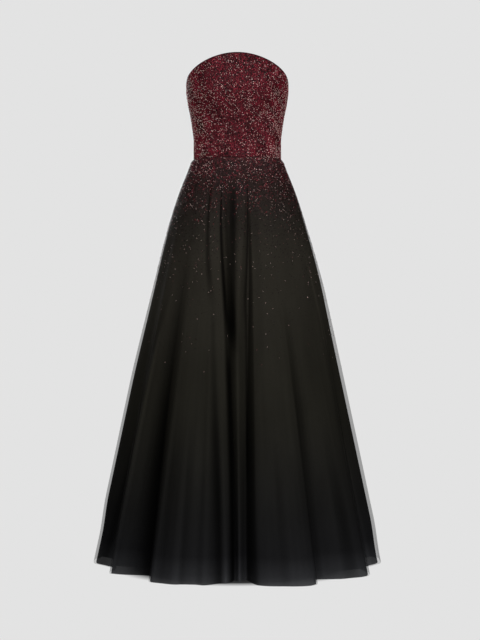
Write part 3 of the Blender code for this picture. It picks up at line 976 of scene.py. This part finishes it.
def underskirt_piece(side, low, high):
    """A panel of the satin underskirt, and its cut."""
    drops = drop_rows(UNDERSKIRT_LENGTH, UNDERSKIRT_GRID[1])[::-1]
    columns = zip_slit(skirt_columns(low, high, UNDERSKIRT_GRID[0]), drops, low, high)
    down = drops[:, None]
    inset = layer_inset(2, down) + side_slack(2, columns, down)
    outer = skirt_point(columns, down, inset)
    inner = skirt_point(columns, down, inset + UNDERSKIRT_WALL)
    piece = shell_object("underskirt_" + side + "_cloth", outer, inner, (satin,))
    give_shade(piece, np.tile(fold_shade(columns, down), (2, 1)))
    return dressed(piece, "opaque_satin", "underskirt_" + side), cut_of(outer)


def bead_ring():
    """The rim of a bead one unit wide."""
    angles = np.arange(BEAD_SIDES) * 2 * np.pi / BEAD_SIDES
    return np.stack([np.cos(angles), np.sin(angles), np.zeros(BEAD_SIDES)], axis=1) * 0.5


def seed_shape():
    """The part of a round bead that shows over the net: a ring and its crown."""
    points = np.concatenate([bead_ring(), [[0.0, 0.0, CROWN_RISE]]])
    faces = [(i, (i + 1) % BEAD_SIDES, BEAD_SIDES) for i in range(BEAD_SIDES)]
    return points, np.array(faces)


def crystal_shape():
    """The part of a cut stone that shows: a flat table with sloping facets round it."""
    ring = bead_ring()
    table = ring * TABLE_WIDTH + np.array([0.0, 0.0, TABLE_RISE])
    faces = []
    for i in range(BEAD_SIDES):
        after = (i + 1) % BEAD_SIDES
        faces.append((i, after, BEAD_SIDES + after))
        faces.append((i, BEAD_SIDES + after, BEAD_SIDES + i))
    for i in range(1, BEAD_SIDES - 1):
        faces.append((BEAD_SIDES, BEAD_SIDES + i, BEAD_SIDES + i + 1))
    return np.concatenate([ring, table]), np.array(faces)


def wave_field(seed, wavelength, count=10):
    """A soft random field over a flat map, about 0 on average and 1 in spread."""
    draw = np.random.default_rng(seed)
    turn = draw.uniform(0.0, 2 * np.pi, count)
    pace = 2 * np.pi / wavelength * draw.uniform(0.6, 1.5, count)
    phase = draw.uniform(0.0, 2 * np.pi, count)

    def field(across, up):
        waves = [np.cos(p * (across * np.cos(t) + up * np.sin(t)) + f) for t, p, f in zip(turn, pace, phase)]
        return sum(waves) * math.sqrt(2.0 / count)

    return field


crimson_patches = wave_field(11, 0.060)
silver_patches = wave_field(12, 0.075)
density_patches = wave_field(13, 0.050)


def row_seats(point_at, low, high, draw, shift):
    """Angles at even steps along one row of beads, shaken out of line."""
    fine = np.linspace(low, high, 900)
    arc = lengths_along(point_at(fine))
    places = np.arange(BEAD_SPACING * (0.5 + shift), arc[-1] - BEAD_SPACING * 0.3, BEAD_SPACING)
    places = places + draw.normal(0.0, BEAD_JITTER, len(places)) * BEAD_SPACING
    places = np.clip(places, BEAD_SPACING * 0.4, arc[-1] - BEAD_SPACING * 0.4)
    return np.interp(places, arc, fine), places


def seats_in_rows(levels, point_of, low, high, draw):
    """For each row of beads, their angles, their own levels and their places along the row."""
    for number, level in enumerate(levels):
        angles, places = row_seats(lambda a: point_of(a, level), low, high, draw, 0.5 * (number % 2))
        yield angles, level + draw.normal(0.0, BEAD_JITTER, len(angles)) * BEAD_SPACING, places


def bodice_seats(low, high, draw):
    """Angles, heights and places along the rows, for the beads of a bodice panel."""
    found = []
    rows = np.arange(BEAD_SPACING * 0.6, TOP_AT_SIDE + TOP_RISE_TO_FRONT, BEAD_ROW_STEP)
    for angles, heights, places in seats_in_rows(rows, bodice_point, low, high, draw):
        keep = (heights < bodice_top(angles) - EDGE_FREE) & (heights > 0.0006)
        keep &= draw.random(len(angles)) < BODICE_SHARE
        found.append(np.stack([angles, heights, places], axis=1)[keep])
    return np.concatenate(found)


def skirt_seats(low, high, draw):
    """The same for a panel of the skirt, with hem angles and drops; the beads thin out downward."""
    found = []
    rows = np.arange(BEAD_SPACING * 0.5, BEADING_DEPTH, BEAD_ROW_STEP)
    for angles, drops, places in seats_in_rows(rows, outer_tulle_point, low, high, draw):
        drops = np.maximum(drops, 0.001)
        share = beading_share(drops) * (1 + DENSITY_SWING * density_patches(places, drops))
        # Fewer beads lie where the folds' shade is painted dark, so that the painted valleys stay dark
        share = share * np.clip(fold_shade(angles, drops), 0.0, 1.0)
        keep = draw.random(len(angles)) < share
        found.append(np.stack([angles, drops, places], axis=1)[keep])
    return np.concatenate(found)


def normals_on(point_of, angles, levels):
    """The normals at seats on a surface that is a function of an angle and a level."""
    angle_step = 0.15
    level_step = 0.0008
    along = point_of(angles + angle_step, levels) - point_of(angles - angle_step, levels)
    rise = point_of(angles, levels + level_step) - point_of(angles, levels - level_step)
    return unit(np.cross(along, rise))


def bead_kinds(places, heights, angles, draw):
    """Which glass each bead is made of: burgundy with crimson patches above, jet and smoke farther down.

    More crimson and silver beads lie at the bodice's sides, so they are lighter, and in a band round the bust's
    underside, painted light against the shade there.
    """
    count = len(places)
    below = np.clip(-heights, 0.0, None)
    on_skirt = soft_step((0.014 - heights) / 0.030)
    red = np.clip(1 - below / 0.20, 0.0, 1.0)
    low = soft_step((0.20 - heights) / 0.08)
    # A band round the bust's underside gets more bright beads: painted light against the shade that falls under the
    # bust
    middle = bump(heights - 0.150, 0.065)
    aside = np.where(heights > 0, np.abs(np.sin(np.radians(angles))) ** 3, 0.2)
    crimson = np.clip(0.15 + 0.03 * middle + 0.10 * crimson_patches(places, heights), 0.03, 0.5)
    crimson = crimson * (0.80 + 1.50 * aside) * red ** 1.5 * (1 - 0.80 * on_skirt)
    silver = 0.060 + 0.040 * low + 0.070 * middle + 0.020 * silver_patches(places, heights)
    silver = np.clip(silver, 0.02, 0.25) * (0.72 + 1.40 * aside) * (1 - 0.35 * on_skirt)
    silver = silver + 0.12 * soft_step((below - 0.18) / 0.15)
    smoke = np.full(count, 0.08)
    burgundy = (0.34 + 0.12 * middle + 0.04 * low * (1 - on_skirt)) * red * (1 - 0.35 * on_skirt)
    edges = np.cumsum(np.stack([silver, smoke, crimson, burgundy]), axis=0)
    pick = draw.random(count)
    kinds = np.full(count, JET)
    kinds[pick < edges[3]] = BURGUNDY
    kinds[pick < edges[2]] = CRIMSON
    kinds[pick < edges[1]] = SMOKE
    kinds[pick < edges[0]] = SILVER
    return kinds


def turned_frames(normals, draw, tilt):
    """For each bead, three axes: two across, at a random spin, and one out, tilted a little."""
    normals = unit(normals + draw.normal(0.0, 1.0, normals.shape) * tilt[:, None])
    first = unit(np.cross(normals, (0.0, 0.0, 1.0)))
    second = np.cross(normals, first)
    spin = draw.uniform(0.0, 2 * np.pi, len(normals))[:, None]
    across = first * np.cos(spin) + second * np.sin(spin)
    return np.stack([across, np.cross(normals, across), normals], axis=1)


def bead_object(name, seats, normals, kinds, draw):
    """All the beads of a panel as one mesh: round seeds, and cut stones for silver and some others."""
    count = len(seats)
    stones = (kinds == SILVER) | ((kinds == SMOKE) & (draw.random(count) < CUT_SMOKE))
    stones |= (kinds == CRIMSON) & (draw.random(count) < CUT_CRIMSON)
    silver_size = SILVER_SIZE - SILVER_SHRINK * soft_step(-seats[:, 2] / SILVER_SHRINK_DROP)
    sizes = draw.uniform(*BEAD_WIDTHS, count) * np.where(kinds == SILVER, silver_size, 1.0) * MM
    frames = turned_frames(normals, draw, np.where(stones, STONE_TILT, SEED_TILT))
    points, faces, materials, smooth, cells = [], [], [], [], []
    start = 0
    side = math.ceil(math.sqrt(count))
    for shape, chosen, round_ in ((seed_shape(), ~stones, True), (crystal_shape(), stones, False)):
        form, corners = shape
        picked = np.flatnonzero(chosen)
        local = np.einsum("pk,nkc->npc", form, frames[picked]) * sizes[picked][:, None, None]
        lifted = seats[picked] + normals[picked] * sizes[picked][:, None] * BEAD_LIFT
        points.append((local + lifted[:, None, :]).reshape(-1, 3))
        offsets = start + np.arange(len(picked))[:, None, None] * len(form)
        faces.append((corners[None] + offsets).reshape(-1, 3))
        materials.append(np.repeat(kinds[picked], len(corners)))
        smooth.append(np.full(len(picked) * len(corners), round_))
        flat = form[corners][:, :, :2] * 0.84 + 0.5
        cell = np.stack([picked % side, picked // side], axis=1)[:, None, None, :]
        cells.append(((cell + flat[None]) / side).reshape(-1, 2))
        start += len(picked) * len(form)
    obj = mesh_object(name, np.concatenate(points), np.concatenate(faces), bead_materials,
                      np.concatenate(materials), np.concatenate(smooth))
    give_map(obj, np.concatenate(cells))
    return dressed(obj, "beaded_cloth")


# Levels rise from the waist on the bodice (upward is 1) and drop from it on the skirt (-1)
Beaded = namedtuple("Beaded", "name seed seats_for point_of upward")
ON_BODICE = Beaded("beads_bodice_", 100, bodice_seats, bodice_point, 1)
ON_SKIRT = Beaded("beads_skirt_", 200, skirt_seats, outer_tulle_point, -1)


def panel_beads(beaded, number, side, low, high):
    """The beads of one panel of the bodice or the skirt."""
    draw = np.random.default_rng(beaded.seed + number)
    angles, levels, places = beaded.seats_for(low, high, draw).T
    normals = normals_on(beaded.point_of, angles, levels) * beaded.upward
    kinds = bead_kinds(places + low, levels * beaded.upward, angles, draw)
    return bead_object(beaded.name + side, beaded.point_of(angles, levels), normals, kinds, draw)


def declare_sheet(made, held, with_pieces=()):
    piece, (flat, area) = made
    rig.sheet(piece, flat=flat, held=held, area=area, with_pieces=list(with_pieces))


def make_cloth():
    for number, (side, low, high) in enumerate(PANELS):
        bodice = bodice_piece(side, low, high)
        on_bodice = panel_beads(ON_BODICE, number, side, low, high)
        declare_sheet(bodice, "stretched", [on_bodice])
        declare_sheet(underskirt_piece(side, low, high), "hung")
        declare_sheet(tulle_piece(side, low, high, 1), "gathered")
        outer = tulle_piece(side, low, high, 0)
        on_skirt = panel_beads(ON_SKIRT, number, side, low, high)
        declare_sheet(outer, "gathered", [on_skirt])


def make_camera():
    data = bpy.data.cameras.new("camera")
    data.sensor_fit = "VERTICAL"
    data.sensor_height = SENSOR
    data.lens = LENS
    camera = bpy.data.objects.new("camera", data)
    camera.location = CAMERA_PLACE
    camera.rotation_euler = (math.radians(90), 0.0, 0.0)
    bpy.context.scene.collection.objects.link(camera)
    bpy.context.scene.camera = camera


def area_light(lamp):
    """A soft light that faces its target."""
    data = bpy.data.lights.new(lamp.name, "AREA")
    data.shape = "RECTANGLE"
    data.size, data.size_y = lamp.size
    data.energy = lamp.power
    light = bpy.data.objects.new(lamp.name, data)
    light.location = lamp.place
    toward = np.array(lamp.target) - np.array(lamp.place)
    light.rotation_mode = "QUATERNION"
    light.rotation_quaternion = Vector(toward).to_track_quat("-Z", "Y")
    light.visible_camera = False
    bpy.context.scene.collection.objects.link(light)


def make_world():
    """The camera sees a plain pale backdrop; the gown is lit by a dome that is brighter overhead."""
    world = bpy.data.worlds.new("studio")
    bpy.context.scene.world = world
    world.use_nodes = True
    world.node_tree.nodes.clear()
    out = add_node(world, "OutputWorld")
    seen = add_node(world, "Background")
    put(seen, "Color", (BACKDROP, BACKDROP, BACKDROP, 1.0))
    dome = add_node(world, "Background")
    up = height_share(world, "Generated", -1.0, 1.0)
    path = add_node(world, "LightPath")
    mix = add_node(world, "MixShader")
    link(world, grey_ramp(world, up, 0.0, DOME_BELOW, 1.0, DOME_ABOVE), dome.inputs["Color"])
    link(world, path.outputs["Is Camera Ray"], mix.inputs["Fac"])
    link(world, dome.outputs["Background"], mix.inputs[1])
    link(world, seen.outputs["Background"], mix.inputs[2])
    link(world, mix.outputs["Shader"], out.inputs["Surface"])


def under_the_skirt(made):
    """The shade under the skirt, painted on the self-lit floor as an oval with a soft edge."""
    length = add_node(made, "VectorMath", operation="LENGTH")
    place = scaled_place(made, (1 / SHADE_HALF_WIDTH, 1 / SHADE_HALF_DEPTH, 0.0))
    link(made, place, length.inputs[0])
    share = range_share(made, length.outputs["Value"], 0.0, 2.0)
    return grey_ramp(made, share, 0.40, 0.03, 0.49, 1.0)


def make_floor():
    """A pale floor that glows for the camera only, so that it meets the backdrop without a line."""
    half = FLOOR_HALF_WIDTH
    height = -SKIRT_LENGTH - FLOOR_GAP
    corners = [(-half, -half, height), (half, -half, height), (half, half, height), (-half, half, height)]
    mesh = bpy.data.meshes.new("floor")
    mesh.from_pydata(corners, [], [(0, 1, 2, 3)])
    floor = bpy.data.objects.new("floor", mesh)
    bpy.context.scene.collection.objects.link(floor)
    made, shader = new_material("pale_floor", roughness=0.9, specular=0.0)
    put(shader, "Base Color", (0.0, 0.0, 0.0, 1.0))
    path = add_node(made, "LightPath")
    glow = add_node(made, "MapRange")
    put(glow, "To Max", BACKDROP)
    link(made, path.outputs["Is Camera Ray"], glow.inputs["Value"])
    link(made, glow.outputs["Result"], shader.inputs["Emission Strength"])
    link(made, under_the_skirt(made), shader.inputs["Emission Color"])
    mesh.materials.append(made)
    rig.stage(floor)


def tape_inset(height):
    """The zip tape lies behind the bodice, and steps in below the waist to lie behind the underskirt."""
    behind_bodice = BODICE_WALL + TAPE_GAP
    behind_skirt = layer_inset(2, np.maximum(-height, 0.0)) + UNDERSKIRT_WALL + TAPE_GAP
    share = np.clip(1 - height / TAPE_STEP_HEIGHT, 0.0, 1.0)
    return behind_bodice + (behind_skirt - behind_bodice) * share


def behind_the_slit(across, height, deeper=0.0):
    """A point of the tape's face, this far across from the centre back."""
    drop = np.maximum(-height, 0.0)
    rise = np.maximum(height, 0.0)
    radius = np.where(height > 0, bodice_radius(CENTRE_BACK, rise), skirt_radius(CENTRE_BACK, drop))
    degrees = CENTRE_BACK + np.degrees(across / radius)
    inset = tape_inset(height) + deeper
    on_bodice = bodice_point(degrees, rise, inset)
    return np.where(height[..., None] > 0, on_bodice, skirt_point(degrees, drop, inset))


def zip_weave():
    """Ribbed weave of the zip's tape."""
    weave, shader = new_material("zip_tape_weave", roughness=0.85, specular=0.2)
    rib = noise_value(weave, 900.0, 1.0, (1.0, 1.0, 3.0))
    link(weave, grey_ramp(weave, rib, 0.35, 0.008, 0.65, 0.020), shader.inputs["Base Color"])
    bumped(weave, shader, rib, 0.0002)
    return weave


def zip_finish(name, scale, dark, light, roughness, metallic):
    """Dark enamel or nylon, a little worn."""
    enamel, shader = new_material(name, roughness, metallic, specular=0.5)
    wear = noise_value(enamel, scale, 3.0)
    link(enamel, grey_ramp(enamel, wear, 0.45, dark, 0.75, light), shader.inputs["Base Color"])
    bumped(enamel, shader, wear, 0.0001)
    return enamel


def tape_piece():
    """The closed tapes of the zip, and their cut."""
    top = ZIP_TOP_FRACTION * float(bodice_top(CENTRE_BACK))
    heights = np.linspace(-ZIP_DROP, top, 72)[:, None]
    across = np.linspace(-TAPE_HALF_WIDTH, TAPE_HALF_WIDTH, 9)
    heights, across = np.broadcast_arrays(heights, across)
    face = behind_the_slit(across, heights)
    reverse = behind_the_slit(across, heights, TAPE_WALL)
    piece = shell_object("zip_tape_cloth", face, reverse, (zip_weave(),))
    return dressed(piece, "zip_tape", "zip_tape"), cut_of(face)


def zip_teeth():
    """Small staggered blocks on the tape's face, which show in the slit between the backs."""
    heights = np.arange(CHAIN_FOOT, CHAIN_TOP, TOOTH_PITCH)
    places = behind_the_slit(np.zeros(len(heights)), heights, -TAPE_GAP / 2)
    up = unit(np.gradient(places, axis=0))
    out = np.cross((-1.0, 0.0, 0.0), up)
    places[:, 0] += TOOTH_STAGGER * np.where(np.arange(len(heights)) % 2, 0.5, -0.5)
    signs = np.array([(x, z, y) for y in (-0.5, 0.5) for z in (-0.5, 0.5) for x in (-0.5, 0.5)])
    frames = np.stack([np.broadcast_to((1.0, 0.0, 0.0), up.shape), up, out], axis=1)
    points = places[:, None] + np.einsum("pk,nkc->npc", signs * TOOTH_SIZE, frames)
    block = np.array([(0, 2, 3, 1), (4, 5, 7, 6), (0, 1, 5, 4), (2, 6, 7, 3), (0, 4, 6, 2), (1, 3, 7, 5)])
    faces = (block[None] + 8 * np.arange(len(heights))[:, None, None]).reshape(-1, 4)
    teeth = zip_finish("zip_teeth_nylon", 900.0, 0.012, 0.040, 0.45, 0.0)
    return dressed(mesh_object("zip_teeth", points.reshape(-1, 3), faces, [teeth], smooth=False), "zip_tape")


def make_zip():
    """The tapes and the teeth; the slider and its pull keep the frame's shapes and get their own finish."""
    tape = tape_piece()
    declare_sheet(tape, "stretched", [zip_teeth()])
    enamel = zip_finish("zip_enamel", 500.0, 0.016, 0.060, 0.35, 0.6)
    for node in ("zip_slider", "zip_pull"):
        for holder in frame["nodes"][node].material_slots:
            holder.material = enamel


bpy.context.scene.view_settings.view_transform = "Standard"
make_camera()
make_world()
for lamp in LAMPS:
    area_light(lamp)
make_floor()
make_cloth()
make_zip()

with open("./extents.json", "w") as out:
    json.dump({"cad": [list(corner) for corner in CAD_BOX], "visual": [list(corner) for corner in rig.bounds()]}, out)
